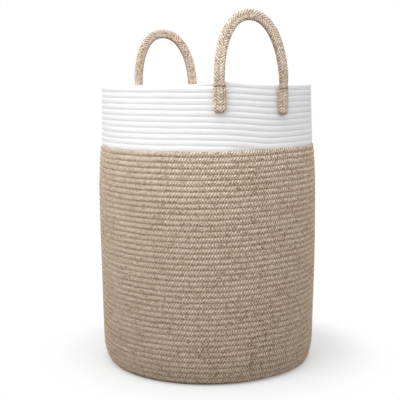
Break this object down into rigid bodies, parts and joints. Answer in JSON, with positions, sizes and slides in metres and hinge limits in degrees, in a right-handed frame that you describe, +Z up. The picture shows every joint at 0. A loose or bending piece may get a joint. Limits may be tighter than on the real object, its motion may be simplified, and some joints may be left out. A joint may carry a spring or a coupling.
{
  "type": "laundry basket",
  "caption": "Tall round open laundry basket coiled from sewn rope, with a pale upper band and a rope handle on each side that swings in and out.",
  "frame": {"origin": "centre of the base, on the floor", "axes": "+Z up; the front handle is on the -Y side and the back handle on the +Y side"},
  "size_m": [0.391, 0.391, 0.6175],
  "materials": {
    "jute_rope": "matt braided jute-look rope, straw brown with pale and dark strands",
    "cotton_rope": "matt white cotton rope",
    "jute_braid": "matt thick herringbone braid in the wall rope's colours",
    "stitch_thread": "slightly lustrous sewing thread"
  },
  "bodies": {
    "basket": {"base_coil": "jute_rope", "wall_coil": "jute_rope", "band_coil": "cotton_rope", "front_handle_bend_left": "jute_braid", "front_handle_bend_right": "jute_braid", "front_handle_foot_left": "jute_braid", "front_handle_foot_right": "jute_braid", "front_foot_stitch_left": "stitch_thread", "front_foot_stitch_right": "stitch_thread", "back_handle_bend_left": "jute_braid", "back_handle_bend_right": "jute_braid", "back_handle_foot_left": "jute_braid", "back_handle_foot_right": "jute_braid", "back_foot_stitch_left": "stitch_thread", "back_foot_stitch_right": "stitch_thread"},
    "front_handle": {"front_handle_loop": "jute_braid"},
    "back_handle": {"back_handle_loop": "jute_braid"}
  },
  "joints": [
    {"name": "front_handle_swing", "type": "hinge", "parent": "basket", "child": "front_handle", "pos_m": [-0.00333, -0.19077, 0.515], "axis": [0.9998, -0.0175, 0], "range_deg": [-90, 150], "deforming": ["front_handle_bend_left", "front_handle_bend_right"]},
    {"name": "back_handle_swing", "type": "hinge", "parent": "basket", "child": "back_handle", "pos_m": [-0.00333, 0.19077, 0.515], "axis": [-0.9998, -0.0175, 0], "range_deg": [-90, 150], "deforming": ["back_handle_bend_left", "back_handle_bend_right"]}
  ]
}
